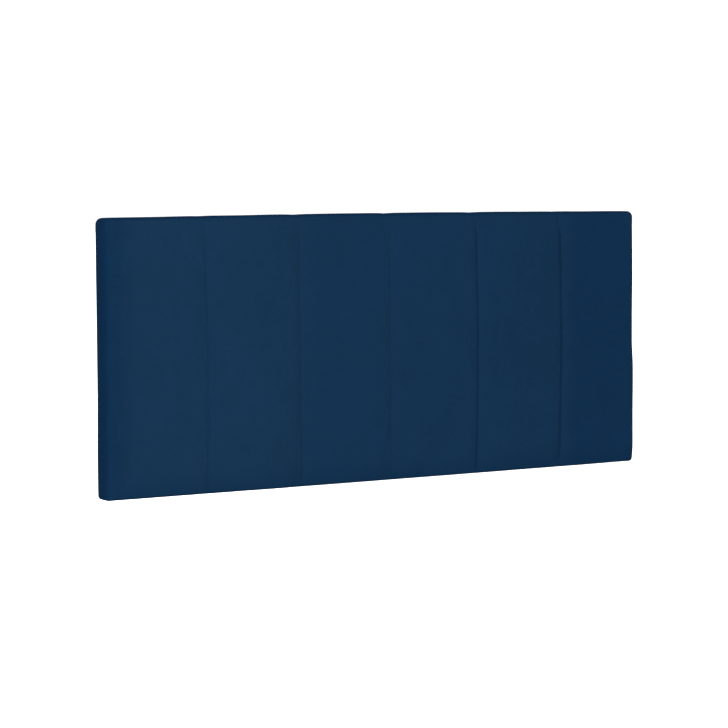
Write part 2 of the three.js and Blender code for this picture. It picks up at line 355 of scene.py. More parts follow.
def plywood_material():
    """Birch plywood: flecked veneer on its faces and the layers showing at its edges."""
    m = Shader("plywood", roughness=0.68, specular=0.3)
    veneer_noise = m.noise(70, 4, 0.5, (0.05, 1, 1))
    veneer = m.ramp(
        veneer_noise,
        (0.32, (0.66, 0.48, 0.28)),
        (0.55, (0.57, 0.39, 0.20)),
        (0.70, (0.48, 0.31, 0.15)),
    )
    flecks = m.vary(m.noise(800, 3, 0.6, (0.12, 1, 1)), 0.88, 1.08)
    layers = m.math("SINE", m.math("MULTIPLY", m.axis(1), 2 * math.pi / PLY_PAIR))
    plies = m.span(layers, -0.4, 0.4, 0.62, 1.08, smooth=True)
    end_grain = m.vary(m.noise(1100, 2), 0.85, 1.05)
    edge = m.tint((0.50, 0.33, 0.17), m.math("MULTIPLY", plies, end_grain))
    facing = m.math("ABSOLUTE", m.part(m.node("ShaderNodeNewGeometry").outputs["Normal"], 1))
    flat = m.span(facing, 0.85, 0.95, 0, 1)
    m.colour(m.blend(flat, edge, m.tint(veneer, flecks)))
    m.bump(m.noise(900, 3, 0.6, (0.15, 1, 1)), 0.12 * MM, 0.5)
    return m.material


def hardboard_material():
    m = Shader("hardboard", roughness=0.6, specular=0.35)
    fibres = m.noise(420, 4, 0.7)
    m.colour(m.ramp(fibres, (0.35, (0.13, 0.062, 0.026)), (0.65, (0.24, 0.125, 0.058))))
    m.bump(fibres, 0.1 * MM, 0.5)
    return m.material


def foam_material():
    """Open-cell foam with visible pores."""
    m = Shader("foam", roughness=0.95, specular=0.15)
    pores = m.span(m.cells(900), 0.1, 0.6, 0.0, 1.0)
    cloud = m.vary(m.noise(14, 2), 0.93, 1.04)
    m.colour(m.tint((0.80, 0.74, 0.55), m.math("MULTIPLY", m.span(pores, 0, 1, 1.05, 0.78), cloud)))
    m.bump(pores, -0.4 * MM, 0.7)
    return m.material


def felt_material():
    m = Shader("felt", roughness=0.95, specular=0.1)
    tufts = m.noise(700, 5, 0.7)
    m.colour(m.ramp(tufts, (0.35, (0.085, 0.075, 0.066)), (0.65, (0.22, 0.20, 0.175))))
    m.bump(tufts, 0.5 * MM, 0.8)
    m.bsdf.inputs["Sheen Weight"].default_value = 0.3
    return m.material


def metal_material(name, colour, roughness):
    m = Shader(name, roughness=roughness, metallic=1.0)
    haze = m.noise(260, 4, 0.6)
    m.colour(m.tint(colour, m.vary(haze, 0.82, 1.08)))
    m.rough(m.noise(900, 3), roughness - 0.08, roughness + 0.14)
    m.bump(m.noise(1800, 2), 0.04 * MM, 0.4)
    return m.material


def nylon_material():
    m = Shader("nylon", roughness=0.45, specular=0.45)
    m.colour(m.tint((0.235, 0.245, 0.26), m.vary(m.noise(180, 3), 0.92, 1.06)))
    m.rough(m.noise(500, 2), 0.4, 0.58)
    m.bump(m.noise(650, 3), 0.05 * MM, 0.5)
    return m.material


SUEDE = suede_material()
THREAD = thread_material()
DUST = dust_cover_material()
PINE_X = timber_material("pine_along_x", 0)
PINE_Z = timber_material("pine_along_z", 2)
PLYWOOD = plywood_material()
HARDBOARD = hardboard_material()
FOAM = foam_material()
FELT = felt_material()
ZINC = metal_material("zinc_steel", (0.62, 0.63, 0.64), 0.32)
STAPLE = metal_material("staple_wire", (0.55, 0.55, 0.56), 0.28)
NYLON = nylon_material()


# ---------------------------------------------------------------- cover

# Across a seam: a soft valley in the foam, and a crease where the cloth is sewn. The last two are tighter.
VALLEY_DEPTH = 1.6 * MM
VALLEY_WIDTH = [13 * MM, 13 * MM, 13 * MM, 8 * MM, 8 * MM]
CREASE_DEPTH = [1.5 * MM, 1.5 * MM, 1.2 * MM, 2.2 * MM, 2.2 * MM]
CREASE_WIDTH = [4.8 * MM, 4.8 * MM, 4.8 * MM, 2.2 * MM, 2.2 * MM]
COLUMNS_FROM_SEAM = [0, 0.6, 1.2, 2, 3, 4.4, 6.2, 8.6, 12, 16, 21, 28, 36, 46, 58, 72, 88, 104]
COLUMNS_FROM_END = [0, 6, 13, 21, 30, 40, 52, 66, 84, 104]
ROW_STEP = 6 * MM
CORNER_STEPS = 6
EDGE_STEPS = 8
SIDE_STEPS = 5
BACK_STEPS = 3
HEM_INSETS = [7 * MM, 12 * MM, 18.5 * MM, HEM_WIDTH]

# The front starts this far in, so that it can swell. Its shaping fades out over the roll.
SWELL = 1.0 * MM
ROLL_DEPTH = 16 * MM

# The edges' crowns, the waves along them, the dip at each seam's top, and the bulges of the two sides.
TOP_CROWN = 3.0 * MM
TOP_RIPPLE = 0.5 * MM
SEAM_DIP = 1.3 * MM
SEAM_DIP_WIDTH = 17 * MM
BOTTOM_CROWN = 0.6 * MM
BOTTOM_RIPPLE = 0.3 * MM
SIDE_RIPPLE = 1.2 * MM
RIGHT_BULGE = 3.0 * MM
LEFT_BULGE = 1.8 * MM
HEM_FOLD = 0.9 * MM

# The puckers beside a seam, and the rounded ends of the fifth.
PUCKER_DEPTH = 0.25 * MM
PUCKER_LENGTH = 9 * MM
PUCKER_REACH = 11 * MM
ARC_WIDE = 34 * MM
ARC_TALL = 24 * MM
ARC_INSET = 10 * MM
ARC_DEPTH = 1.5 * MM
ARC_WIDTH = 2.8 * MM

# The cloth simulation: its length, its pressure, how far a point may move, and how firmly each part is held.
SETTLE_FRAMES = 16
SETTLE_PRESSURE = 0.7
SETTLE_CAP = 2.4 * MM
HELD_SEAM_WIDTH = 6 * MM
HELD_FRONT = 0.12
HELD_ROLL = 0.5
HELD_SIDE = 0.8
HELD_HEM = 1.0

# How each seam strays from its straight line: a shift, a lean and a bow, in millimetres.
SEAM_STRAYS = [(2.6, -2, 5.5), (6, -2.8, 0), (7, -0.4, 0.3), (-3.4, 0, 6.3), (-7.4, 0.5, 8)]


def seam_wander(index, z):
    """How far a seam strays sideways at a height, as hand-sewn channels do."""
    t = (z - CENTRE_Z) / HALF_HEIGHT
    shift, lean, bow = SEAM_STRAYS[index]
    return (shift + lean * t + bow * (1 - t * t) + 0.4 * np.sin(9 * t + 2 * index)) * MM


def nearest_seam(x, z):
    """Signed distance from the nearest seam at each point, and the seam's number."""
    away = np.stack([x - s - seam_wander(i, z) for i, s in enumerate(SEAMS)])
    number = np.abs(away).argmin(0)
    return np.take_along_axis(away, number[None], 0)[0], number


def front_columns():
    """The x of the front's columns, close together at the seams."""
    ends = [LEFT_ROLL - HALF_WIDTH, *SEAMS, HALF_WIDTH - EDGE_RADIUS]
    columns = set()
    for left, right in zip(ends, ends[1:]):
        half = (right - left) / 2
        for side, edge in ((1, left), (-1, right)):
            steps = COLUMNS_FROM_SEAM if edge in SEAMS else COLUMNS_FROM_END
            columns.update(round(edge + side * s * MM, 6) for s in steps if s * MM < half - 5 * MM)
        columns.add(round((left + right) / 2, 6))
    return np.array(sorted(columns))


def border_loop(columns, rows):
    """The border of the front grid, anticlockwise from its lower left corner.

    Each entry is (column, row, side in x, side in z, outward x, outward z); a corner has both sides."""
    last_column, last_row = len(columns) - 1, len(rows) - 1
    loop = []

    def corner(column, row, side_x, side_z, start):
        for k in range(CORNER_STEPS + 1):
            angle = start + k / CORNER_STEPS * math.pi / 2
            loop.append((column, row, side_x, side_z, math.cos(angle), math.sin(angle)))

    corner(0, 0, -1, -1, math.pi)
    loop.extend((i, 0, 0, -1, 0.0, -1.0) for i in range(1, last_column))
    corner(last_column, 0, 1, -1, -math.pi / 2)
    loop.extend((last_column, j, 1, 0, 1.0, 0.0) for j in range(1, last_row))
    corner(last_column, last_row, 1, 1, 0)
    loop.extend((i, last_row, 0, 1, 0.0, 1.0) for i in range(last_column - 1, 0, -1))
    corner(0, last_row, -1, 1, math.pi / 2)
    loop.extend((0, j, -1, 0, -1.0, 0.0) for j in range(last_row - 1, 0, -1))
    return loop


def outline_place(entry, x, z, inset):
    """Where a border point lies on the panel's rounded outline less an inset.

    The lower corners are rounded less."""
    _, _, side_x, side_z, out_x, out_z = entry
    radius = max(CORNER_RADIUS - inset, LEAST_RADIUS)
    reach_x = HALF_WIDTH - inset - radius
    reach_z = HALF_HEIGHT - inset - radius
    if side_x and side_z:
        round_off = radius if side_z > 0 else max(FOOT_RADIUS - inset, LEAST_RADIUS)
        centre_x = side_x * (HALF_WIDTH - inset - round_off)
        centre_z = side_z * (HALF_HEIGHT - inset - round_off)
        return centre_x + out_x * round_off, CENTRE_Z + centre_z + out_z * round_off
    if side_x:
        along = (z - CENTRE_Z) * reach_z / (HALF_HEIGHT - CORNER_RADIUS)
        return side_x * (reach_x + radius), CENTRE_Z + along
    along = x * reach_x / (HALF_WIDTH - CORNER_RADIUS)
    return along, CENTRE_Z + side_z * (reach_z + radius)


def strand(entry, x, z):
    """The cover's points outwards from a border point: over the edge, down the side, and onto the hem."""
    outer_x, outer_z = outline_place(entry, x, z, 0)
    roll = EDGE_RADIUS + (LEFT_ROLL - EDGE_RADIUS) * max(-entry[4], 0) ** 2
    points = []
    for k in range(1, EDGE_STEPS + 1):
        angle = k / EDGE_STEPS * math.pi / 2
        share = math.sin(angle)
        y = FRONT + roll * (1 - math.cos(angle))
        points.append((x + (outer_x - x) * share, y, z + (outer_z - z) * share))
    side_start = FRONT + roll
    side_end = HEM_BACK - BACK_RADIUS
    for k in range(1, SIDE_STEPS + 1):
        points.append((outer_x, side_start + (side_end - side_start) * k / SIDE_STEPS, outer_z))
    for k in range(1, BACK_STEPS + 1):
        angle = k / BACK_STEPS * math.pi / 2
        place = outline_place(entry, x, z, BACK_RADIUS * (1 - math.cos(angle)))
        points.append((place[0], side_end + BACK_RADIUS * math.sin(angle), place[1]))
    for inset in HEM_INSETS:
        place = outline_place(entry, x, z, inset)
        points.append((place[0], HEM_BACK, place[1]))
    return points


def cover_grid():
    """The cover as one open sheet: its points, its faces, and each point's ring, 0 on the front."""
    columns = front_columns()
    inner_height = HALF_HEIGHT - EDGE_RADIUS
    count = round(2 * inner_height / ROW_STEP)
    rows = CENTRE_Z + np.linspace(-inner_height, inner_height, count + 1)
    wide = len(columns)
    points = [(x, FRONT, z) for z in rows for x in columns]
    faces = grid_faces(wide, count + 1)
    loop = border_loop(columns, rows)
    strands = [strand(entry, columns[entry[0]], rows[entry[1]]) for entry in loop]
    previous = [entry[1] * wide + entry[0] for entry in loop]
    ring_of = [0] * len(points)
    for ring in range(len(strands[0])):
        current = list(range(len(points), len(points) + len(loop)))
        points.extend(places[ring] for places in strands)
        ring_of.extend([ring + 1] * len(loop))
        for k in range(len(loop)):
            after = (k + 1) % len(loop)
            corners = (previous[k], current[k], current[after], previous[after])
            faces.append(tuple(dict.fromkeys(corners)))
        previous = current
    return np.array(points), faces, np.array(ring_of)


def fade_at_ends(z):
    """A seam's depth along its length: it softens over the top edge and runs on to the bottom one."""
    low, high = CENTRE_Z - HALF_HEIGHT, CENTRE_Z + HALF_HEIGHT
    top = 0.15 + 0.85 * smoothstep(10 * MM, 60 * MM, high - z)
    bottom = 0.6 + 0.4 * smoothstep(4 * MM, 30 * MM, z - low)
    return top * bottom


def fold_at_corners(x, z):
    """0 to 1 where the hem's cloth is folded over itself, on one side of each corner's diagonal."""
    from_side = HALF_WIDTH - np.abs(x)
    from_end = HALF_HEIGHT - np.abs(z - CENTRE_Z)
    over = smoothstep(-1.5 * MM, 1.5 * MM, from_side - from_end + 2 * MM)
    near = smoothstep(40 * MM, 26 * MM, from_side) * smoothstep(34 * MM, 24 * MM, from_end)
    return over * near


def shape_front(points):
    """Pushes the seams' valleys into the front, and gives the edges their slight crown and waves."""
    x, z = points[:, 0], points[:, 2]
    away, number = nearest_seam(x, z)
    front = smoothstep(FRONT + ROLL_DEPTH, FRONT + 2 * MM, points[:, 1])
    valley = VALLEY_DEPTH * np.exp(-(np.abs(away) / np.take(VALLEY_WIDTH, number)) ** 1.5)
    points[:, 1] += (valley * fade_at_ends(z) + SWELL) * front

    body = smoothstep(HEM_BACK - 1 * MM, HEM_BACK - 6 * MM, points[:, 1])
    up = smoothstep(HALF_HEIGHT - EDGE_RADIUS, HALF_HEIGHT, z - CENTRE_Z)
    down = smoothstep(HALF_HEIGHT - EDGE_RADIUS, HALF_HEIGHT, CENTRE_Z - z)
    bow = np.cos(x / HALF_WIDTH * math.pi / 2)
    dip = np.exp(-(away / SEAM_DIP_WIDTH) ** 2)
    top_ripple = TOP_RIPPLE * (wave(points, 110 * MM, 2) + 1)
    points[:, 2] += up * body * (TOP_CROWN * bow + top_ripple - SEAM_DIP * dip * bow)
    bottom_ripple = BOTTOM_RIPPLE * (wave(points, 120 * MM, 3) + 0.8)
    points[:, 2] -= down * body * (BOTTOM_CROWN * bow + bottom_ripple)
    right = smoothstep(HALF_WIDTH - EDGE_RADIUS, HALF_WIDTH, x)
    left = smoothstep(HALF_WIDTH - EDGE_RADIUS, HALF_WIDTH, -x)
    side_ripple = SIDE_RIPPLE * (wave(points, 95 * MM, 4) + 0.7)
    height = (z - CENTRE_Z) / HALF_HEIGHT
    right_bulge = RIGHT_BULGE * smoothstep(-0.02, -0.24, height) * smoothstep(-1.02, -0.86, height)
    left_bulge = LEFT_BULGE * smoothstep(-0.2, -0.75, height)
    to_right = body * right * (side_ripple + right_bulge)
    to_left = left * (body * side_ripple + left_bulge)
    points[:, 0] += to_right - to_left

    hem = smoothstep(HEM_BACK - 0.5 * MM, HEM_BACK, points[:, 1])
    points[:, 1] += HEM_FOLD * hem * fold_at_corners(x, z)
    return points


def settle_cloth(piece, pins):
    """Lets the cover swell and settle over the foam, held at its seams and hem, with its movement capped."""
    rest = points_of(piece)
    held = piece.vertex_groups.new(name="pins")
    for index, weight in enumerate(pins):
        held.add([index], float(weight), "REPLACE")
    cloth = piece.modifiers.new("cloth", "CLOTH")
    settings = cloth.settings
    settings.quality = 6
    settings.mass = 0.3
    settings.tension_stiffness = 30
    settings.compression_stiffness = 30
    settings.shear_stiffness = 10
    settings.bending_stiffness = 1.5
    settings.tension_damping = 15
    settings.compression_damping = 15
    settings.air_damping = 3
    settings.use_pressure = True
    settings.uniform_pressure_force = SETTLE_PRESSURE
    settings.shrink_min = -0.002
    settings.vertex_group_mass = held.name
    settings.pin_stiffness = 1.0
    settings.effector_weights.gravity = 0
    cloth.collision_settings.use_collision = False
    cloth.point_cache.frame_end = SETTLE_FRAMES
    scene = bpy.context.scene
    for number in range(1, SETTLE_FRAMES + 1):
        scene.frame_set(number)
    apply_modifiers(piece)
    scene.frame_set(1)
    moved = points_of(piece) - rest
    length = np.linalg.norm(moved, axis=1, keepdims=True)
    moved *= np.minimum(1, SETTLE_CAP / np.maximum(length, 1e-9))
    set_points(piece, rest + moved)
    piece.vertex_groups.clear()


def subdivide(piece):
    modifier = piece.modifiers.new("subdivision", "SUBSURF")
    modifier.levels = 1
    modifier.render_levels = 1
    modifier.boundary_smooth = "PRESERVE_CORNERS"
    apply_modifiers(piece)


def crease_seams(piece):
    """Sews the seams: a crease with small puckers where the thread pulls, and the fifth's rounded ends."""
    points = points_of(piece)
    x, z = points[:, 0], points[:, 2]
    away, number = nearest_seam(x, z)
    front = smoothstep(FRONT + 14 * MM, FRONT + 6 * MM, points[:, 1])
    crease = np.take(CREASE_DEPTH, number) * np.exp(-(away / np.take(CREASE_WIDTH, number)) ** 2)
    sewn = crease * fade_at_ends(z)
    beside = 1 - np.exp(-(away / (1.5 * MM)) ** 2)
    near = np.exp(-(np.abs(away) / PUCKER_REACH) ** 1.3) * beside
    pull = wave(np.stack([x * 0.35, x * 0, z], 1), PUCKER_LENGTH, 5)
    points[:, 1] += PUCKER_DEPTH * pull * near * front
    low, high = CENTRE_Z - HALF_HEIGHT, CENTRE_Z + HALF_HEIGHT
    for end, side in ((low, 1), (high, -1)):
        # The fifth channel's right-hand corners are rounded: the crease turns left along a quarter ellipse.
        u = (x - (SEAMS[-1] + seam_wander(4, end) - ARC_WIDE)) / ARC_WIDE
        v = 1 - side * (z - end - side * ARC_INSET) / ARC_TALL
        radial = np.sqrt(np.clip(u, 0, None) ** 2 + np.clip(v, 0, None) ** 2)
        on_arc = (u > 0) & (v > 0)
        distance = (radial - 1) * ARC_TALL
        arc = np.exp(-(distance / ARC_WIDTH) ** 2) * on_arc * smoothstep(0, 0.4, u)
        sewn = np.maximum(sewn, ARC_DEPTH * arc)
    points[:, 1] += sewn * front
    set_points(piece, points)


def thicken(piece, thickness, offset):
    """Gives a sheet its thickness: inwards at an offset of -1, both ways at 0."""
    modifier = piece.modifiers.new("thickness", "SOLIDIFY")
    modifier.thickness = thickness
    modifier.offset = offset
    modifier.use_even_offset = False
    apply_modifiers(piece)


def make_cover():
    points, faces, rings = cover_grid()
    piece = link_mesh("cover_cloth", points, faces, SUEDE)
    points = shape_front(points)
    points[:, 1] -= 0.3 * MM * wave(points, 45 * MM, 1) * (rings == 0)
    set_points(piece, points)
    away, _ = nearest_seam(points[:, 0], points[:, 2])
    sewn = np.exp(-(away / HELD_SEAM_WIDTH) ** 2)
    pins = np.where(rings == 0, np.maximum(HELD_FRONT, sewn), HELD_ROLL)
    pins = np.where(rings >= EDGE_STEPS, HELD_SIDE, pins)
    pins = np.where(rings >= EDGE_STEPS + SIDE_STEPS, HELD_HEM, pins)
    settle_cloth(piece, pins)
    subdivide(piece)
    crease_seams(piece)
    thicken(piece, CLOTH, -1)
    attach(piece, PANEL)
    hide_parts("cover")
    return piece


cover = make_cover()


# ---------------------------------------------------------------- stitches

STITCH_LENGTH = 3.4 * MM
STITCH_PITCH = 4.4 * MM
STITCH_RADIUS = 0.32 * MM
STITCH_SINK = 0.45 * MM


def tube(centres, sizes, up, sides=8):
    """A closed tube through its centres, with a half width and a half height at each, as (points, faces)."""
    points, faces = [], []
    up = Vector(up)
    last = len(centres) - 1
    for k, (centre, (wide, tall)) in enumerate(zip(centres, sizes)):
        along = (Vector(centres[min(k + 1, last)]) - Vector(centres[max(k - 1, 0)])).normalized()
        across = along.cross(up).normalized()
        over = across.cross(along)
        for n in range(sides):
            angle = 2 * math.pi * n / sides
            sideways = across * wide * math.cos(angle)
            points.append(Vector(centre) + sideways + over * tall * math.sin(angle))
    for k in range(last):
        for n in range(sides):
            after = (n + 1) % sides
            below = k + 1
            faces.append((k * sides + n, k * sides + after, below * sides + after, below * sides + n))
    faces.append(tuple(range(sides))[::-1])
    faces.append(tuple(last * sides + n for n in range(sides)))
    return points, faces


def gather(name, parts, material):
    """One mesh from several (points, faces) parts."""
    points, faces = [], []
    for part_points, part_faces in parts:
        start = len(points)
        points.extend(part_points)
        faces.extend(tuple(start + n for n in face) for face in part_faces)
    return link_mesh(name, points, faces, material)


def stitch(x, y, z):
    """One stitch along a seam, its ends sunk into the cloth."""
    centres, sizes = [], []
    for k in range(7):
        t = k / 3 - 1
        size = STITCH_RADIUS * math.sqrt(1.05 - t ** 4)
        centres.append((x, y + STITCH_SINK * t ** 4, z + t * STITCH_LENGTH / 2))
        sizes.append((size, size))
    return tube(centres, sizes, (1, 0, 0))


def make_stitches():
    surface = BVHTree.FromObject(cover, bpy.context.evaluated_depsgraph_get())
    low = CENTRE_Z - HALF_HEIGHT + EDGE_RADIUS
    count = int((2 * HALF_HEIGHT - 2 * EDGE_RADIUS) / STITCH_PITCH)
    for index, seam in enumerate(SEAMS):
        parts = []
        for k in range(count):
            z = low + (k + 0.5) * STITCH_PITCH
            x = seam + float(seam_wander(index, z))
            hit = surface.ray_cast(Vector((x, FRONT - 0.1, z)), Vector((0, 1, 0)))[0]
            parts.append(stitch(x, hit.y + 0.03 * MM, z))
        thread = gather(f"seam_stitches_{index + 1}", parts, THREAD)
        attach(thread, PANEL)


make_stitches()


# ---------------------------------------------------------------- foam


def cosine_steps(low, high, count):
    """Positions from low to high, close together at both ends."""
    return [(low + high) / 2 - (high - low) / 2 * math.cos(math.pi * k / count) for k in range(count + 1)]


def within_outline(x, z, inset):
    """The point, pulled in onto the panel's rounded corner where it lies outside it."""
    radius = CORNER_RADIUS - inset
    dx = abs(x) - (HALF_WIDTH - CORNER_RADIUS)
    dz = abs(z - CENTRE_Z) - (HALF_HEIGHT - CORNER_RADIUS)
    if dx > 0 and dz > 0 and math.hypot(dx, dz) > radius:
        share = 1 - radius / math.hypot(dx, dz)
        x -= math.copysign(dx * share, x)
        z -= math.copysign(dz * share, z - CENTRE_Z)
    return x, z


FOAM_STEPS = 40
FOAM_BEHIND = 2.6 * MM
FOAM_SIDE_EASE = 10 * MM
FOAM_END_EASE = 11 * MM
FOAM_DEEPEST = 17 * MM
FOAM_SEAM_SINK = 3.4 * MM
FOAM_SEAM_WIDTH = 15 * MM


def make_foam(index):
    """One foam strip: its front follows the cover, rounded where a seam or an edge pulls it in."""
    name = CHANNELS[index]
    low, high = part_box(name)
    columns = cosine_steps(low.x, high.x, FOAM_STEPS)
    rows = cosine_steps(low.z, high.z, FOAM_STEPS)
    left_ease = LEFT_ROLL - 1 * MM if index == 0 else FOAM_SIDE_EASE
    outline_inset = HALF_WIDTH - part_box(CHANNELS[-1])[1].x
    front, back = [], []
    for row in rows:
        away, _ = nearest_seam(np.array(columns), np.full(len(columns), row))
        for column, from_seam in zip(columns, away):
            sink = FOAM_SEAM_SINK * math.exp(-(from_seam / FOAM_SEAM_WIDTH) ** 2)
            edges = (
                (column - low.x, left_ease),
                (high.x - column, FOAM_SIDE_EASE),
                (row - low.z, FOAM_END_EASE),
                (high.z - row, FOAM_END_EASE),
            )
            rounding = 0.0
            for distance, ease in edges:
                if distance < ease:
                    rounding += ease - math.sqrt(max(ease ** 2 - (ease - distance) ** 2, 0))
            x, z = within_outline(column, row, outline_inset)
            lump = 0.2 * MM * noise.noise(Vector((x, index, z)) / (60 * MM))
            deep = min(max(sink, rounding), FOAM_DEEPEST)
            front.append((x, low.y + FOAM_BEHIND + deep + lump, z))
            back.append((x, high.y, z))
    wide, tall = len(columns), len(rows)
    faces = grid_faces(wide, tall) + grid_faces(wide, tall, wide * tall, reverse=True)
    border = (
        list(range(wide))
        + [j * wide + wide - 1 for j in range(1, tall)]
        + [(tall - 1) * wide + i for i in range(wide - 2, -1, -1)]
        + [j * wide for j in range(tall - 2, 0, -1)]
    )
    for k, a in enumerate(border):
        b = border[(k + 1) % len(border)]
        faces.append((a, a + wide * tall, b + wide * tall, b))
    strip = link_mesh(f"foam_strip_{index + 1}", front + back, faces, FOAM)
    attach(strip, PANEL)
    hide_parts(name)


for channel in range(len(CHANNELS)):
    make_foam(channel)


# ---------------------------------------------------------------- dust cover

DUST_STEP = 10 * MM
DUST_THICKNESS = 0.5 * MM
BAY_EASE = 45 * MM
EDGE_WAVE = 0.7 * MM
dust_low, dust_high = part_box("dust_cover")


def open_bays(x, z):
    """1 over the frame's open bays, falling to 0 over its timber, where the dust cover lies flat."""
    low_z, high_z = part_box("frame_bottom_rail")[1].z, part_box("frame_top_rail")[0].z
    posts = ["frame_left_stile", *[f"frame_slat_{i}" for i in range(1, 6)], "frame_right_stile"]
    open_x = np.zeros_like(x)
    for left, right in zip(posts, posts[1:]):
        start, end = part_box(left)[1].x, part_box(right)[0].x
        open_x += smoothstep(start, start + BAY_EASE, x) * smoothstep(end, end - BAY_EASE, x)
    above = smoothstep(low_z, low_z + BAY_EASE, z)
    below = smoothstep(high_z, high_z - BAY_EASE, z)
    return open_x * above * below


def make_dust_cover():
    """The non-woven sheet over the back, stapled at its edge and a little slack over each open bay."""
    wide = round((dust_high.x - dust_low.x) / DUST_STEP) + 1
    tall = round((dust_high.z - dust_low.z) / DUST_STEP) + 1
    columns = np.linspace(dust_low.x, dust_high.x, wide)
    rows = np.linspace(dust_low.z, dust_high.z, tall)
    middle = (dust_low.y + dust_high.y) / 2
    points = np.array([(x, middle, z) for z in rows for x in columns])
    x, z = points[:, 0].copy(), points[:, 2].copy()
    bays = open_bays(x, z)
    slack = 2.2 + 0.9 * wave(points, 160 * MM, 6)
    drawn = np.stack([x * 0.25 + z * 0.15, x * 0, z], 1)
    creases = 1.3 * wave(drawn, 34 * MM, 7) + 0.5 * wave(drawn, 14 * MM, 8)
    points[:, 1] += MM * bays * (creases - slack) + HEM_FOLD * fold_at_corners(x, z)
    edge = (np.abs(x) > dust_high.x - 1 * MM) | (z < dust_low.z + 1 * MM) | (z > dust_high.z - 1 * MM)
    points[:, 0] += edge * EDGE_WAVE * wave(points, 28 * MM, 9) * np.sign(-x)
    points[:, 2] += edge * EDGE_WAVE * wave(points, 24 * MM, 10) * np.sign(CENTRE_Z - z)
    piece = link_mesh("dust_cover_cloth", points, grid_faces(wide, tall, reverse=True), DUST)
    subdivide(piece)
    thicken(piece, DUST_THICKNESS, 0)
    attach(piece, PANEL)
    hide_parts("dust_cover")


make_dust_cover()


# ---------------------------------------------------------------- staples

STAPLE_HALF_CROWN = 5.6 * MM
STAPLE_LEG = 9 * MM
STAPLE_SHOULDER = 0.9 * MM
STAPLE_WIRE = (0.62 * MM, 0.3 * MM)
luck = random.Random(7)


def staple(x, y, z, turn):
    """One staple driven towards the room: a flat crown with rounded shoulders and two legs."""
    outline = [(-STAPLE_HALF_CROWN, STAPLE_LEG), (-STAPLE_HALF_CROWN, STAPLE_LEG * 0.5)]
    for k in range(5):
        angle = k / 4 * math.pi / 2
        across = -STAPLE_HALF_CROWN + STAPLE_SHOULDER * (1 - math.cos(angle))
        outline.append((across, STAPLE_SHOULDER * (1 - math.sin(angle))))
    outline += [(-STAPLE_HALF_CROWN / 2, 0.0), (0.0, -0.05 * MM)]
    outline += [(-across, deep) for across, deep in reversed(outline[:-1])]
    side = Vector((math.cos(turn), 0, math.sin(turn)))
    centres = [Vector((x, y - deep, z)) + side * across for across, deep in outline]
    return tube(centres, [STAPLE_WIRE] * len(centres), side.cross(Vector((0, 1, 0))))


def covered_by_batten(x, z):
    """True where the panel batten or a spacer is screwed down over the dust cover: no staples there."""
    for name in ("panel_batten", "spacer_left", "spacer_right"):
        low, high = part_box(name)
        if low.x - 9 * MM < x < high.x + 9 * MM and low.z - 4 * MM < z < high.z + 4 * MM:
            return True
    return False


def staples_round(name, inset, spacing, y, keep_clear):
    """A row of staples round the back at an inset from the panel's edge."""
    half_x, half_z = HALF_WIDTH - inset, HALF_HEIGHT - inset
    places = []
    count_x, count_z = round(2 * half_x / spacing), round(2 * half_z / spacing)
    for k in range(count_x):
        x = -half_x + (k + 0.5) * 2 * half_x / count_x
        places += [(x, CENTRE_Z + half_z, 0.0), (x, CENTRE_Z - half_z, 0.0)]
    for k in range(count_z):
        z = CENTRE_Z - half_z + (k + 0.5) * 2 * half_z / count_z
        places += [(-half_x, z, math.pi / 2), (half_x, z, math.pi / 2)]
    parts = []
    for x, z, turn in places:
        x += luck.uniform(-3, 3) * MM
        z += luck.uniform(-1, 1) * MM
        turn += math.radians(luck.uniform(-9, 9))
        if not (keep_clear and covered_by_batten(x, z)):
            parts.append(staple(x, y, z, turn))
    piece = gather(name, parts, STAPLE)
    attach(piece, PANEL)


staples_round("hem_staples", 21 * MM, 50 * MM, HEM_BACK - 0.1 * MM, False)
staples_round("dust_cover_staples", 18 * MM, 75 * MM, dust_high.y + 0.12 * MM, True)


# ---------------------------------------------------------------- screws, plugs and pads

SCREW_SIDES = 32
SCREW_RIM = 0.55 * MM
BATTEN_SCREW_PITCH = 1.9 * MM
WALL_SCREW_PITCH = 2.2 * MM

PLUG_SIDES = 48
PLUG_SLEEVE = 4.0 * MM
PLUG_BORE = 2.55 * MM
PLUG_MOUTH = 5.1 * MM
PLUG_TOOTH = 4.2 * MM
PLUG_TOOTH_DEPTH = 0.55 * MM
PLUG_SLOT_DEPTH = 0.85 * MM
PLUG_RIB = 0.25 * MM

PAD_SIDES = 64
PAD_DENT = 0.12 * MM


def turned(name, place, direction, rings, sides, material, shape, hollow=False):
    """A solid turned about Y from rings of (distance from the head, radius).

    shape(distance, radius, angle) gives each point's own distance and radius."""
    points, faces = [], []
    for s, r in rings:
        for n in range(sides):
            angle = 2 * math.pi * n / sides
            deep, radius = shape(s, r, angle)
            points.append((
                place.x + radius * math.cos(angle),
                place.y + direction * deep,
                place.z + radius * math.sin(angle),
            ))
    count = len(rings)
    for k in range(count if hollow else count - 1):
        below = (k + 1) % count
        for n in range(sides):
            after = (n + 1) % sides
            quad = (k * sides + n, k * sides + after, below * sides + after, below * sides + n)
            faces.append(quad if direction > 0 else quad[::-1])
    if not hollow:
        head, tip = tuple(range(sides)), tuple((count - 1) * sides + n for n in range(sides))
        faces += [head[::-1], tip] if direction > 0 else [head, tip[::-1]]
    return link_mesh(name, points, faces, material)


def fade(low, high, value):
    return float(smoothstep(low, high, value))


